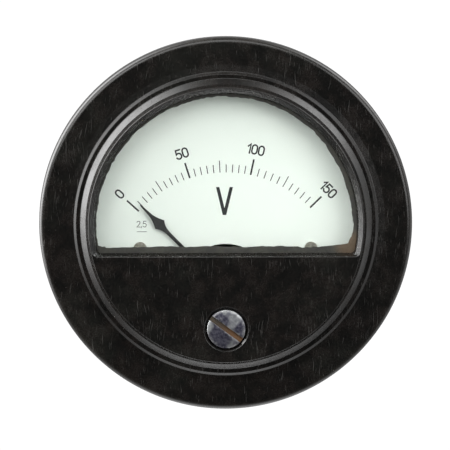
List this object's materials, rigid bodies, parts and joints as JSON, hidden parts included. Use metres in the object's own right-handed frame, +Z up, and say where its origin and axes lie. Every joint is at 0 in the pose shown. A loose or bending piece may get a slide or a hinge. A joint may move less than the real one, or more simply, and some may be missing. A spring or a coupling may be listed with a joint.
{
  "type": "panel voltmeter",
  "caption": "Round black flush-mounting moving-coil panel voltmeter with a D-shaped window, a lance pointer and a slotted zero adjuster.",
  "frame": {"origin": "centre of the flange's back face, which seats on the panel", "axes": "+Z up; +Y back through the panel along the barrel; the dial faces -Y and +X is to the reader's right"},
  "size_m": [0.085, 0.0587, 0.085],
  "materials": {
    "phenolic": "black phenolic moulding, semi-gloss with fine scratches",
    "window_glass": "clear flat glass",
    "cement": "hand-laid olive-brown glazing cement",
    "tarnished_steel": "tarnished plated steel with rust in the slot",
    "nickel": "dull nickel plate",
    "brass": "aged brass",
    "dial_white": "white printed card finish on sheet metal",
    "black_aluminium": "matt black lacquer",
    "aluminium": "plain sheet",
    "copper_winding": "enamelled copper wire",
    "spring_bronze": "bright phosphor bronze strip",
    "soft_iron": "grey soft iron, thin oil film",
    "magnet_steel": "dark brown magnet steel",
    "base_metal": "passivated olive plate",
    "ceramic": "cream glazed ceramic",
    "resistance_wire": "varnished resistance wire",
    "wire_sleeve": "red cotton-covered wire"
  },
  "bodies": {
    "meter": {"front_cover": "phenolic", "window_glass": "window_glass", "glass_cement": "cement", "rear_case": "phenolic", "case_screws": "nickel", "mounting_studs": "brass", "zero_spring_washer": "nickel", "dial_plate": "dial_white", "dial_screws": "nickel", "dial_posts": "brass", "pointer_stops": "brass", "core": "soft_iron", "core_bracket": "brass", "core_bracket_screws": "nickel", "pole_pieces": "soft_iron", "pole_screws": "nickel", "magnet": "magnet_steel", "magnet_clamp": "brass", "clamp_screw": "nickel", "movement_base": "base_metal", "movement_pillars": "brass", "base_screws": "nickel", "rear_wall_screws": "nickel", "front_bridge": "brass", "bridge_posts": "brass", "bridge_screws": "nickel", "front_jewel_screw": "brass", "front_lock_nut": "nickel", "rear_bridge": "brass", "rear_spacers": "brass", "rear_bridge_screws": "nickel", "rear_jewel_screw": "brass", "rear_lock_nut": "nickel", "rear_spring_arm": "brass", "resistor_bobbin": "ceramic", "resistor_winding": "resistance_wire", "resistor_screw": "nickel", "terminal_studs": "brass", "terminal_nuts": "brass", "terminal_washers": "brass", "inner_nuts": "brass", "solder_tags": "nickel", "lead_wires": "wire_sleeve"},
    "zero_adjuster": {"zero_screw": "tarnished_steel", "zero_eccentric": "brass"},
    "regulator": {"zero_regulator": "brass"},
    "moving_coil": {"pointer": "black_aluminium", "balance_cross": "aluminium", "balance_weights": "brass", "coil_former": "aluminium", "coil_winding": "copper_winding", "front_staff": "nickel", "rear_staff": "nickel", "front_hairspring": "spring_bronze", "rear_hairspring": "spring_bronze"}
  },
  "joints": [
    {"name": "zero_adjust", "type": "hinge", "parent": "meter", "child": "zero_adjuster", "pos_m": [0, -0.008, -0.0237], "axis": [0, 1, 0], "range_deg": [-60, 60]},
    {"name": "zero_shift", "type": "hinge", "parent": "meter", "child": "regulator", "pos_m": [0, -0.005, -0.0155], "axis": [0, 1, 0], "range_deg": [-7, 7]},
    {"name": "pointer_swing", "type": "hinge", "parent": "meter", "child": "moving_coil", "pos_m": [0, -0.002, -0.0155], "axis": [0, 1, 0], "range_deg": [-5.7, 93.1], "stiffness_Nm_per_rad": 0.00001, "deforming": ["front_hairspring", "rear_hairspring"]}
  ],
  "couplings": [
    {"joint": "zero_shift", "follows": "zero_adjust", "ratio": 0.114}
  ]
}
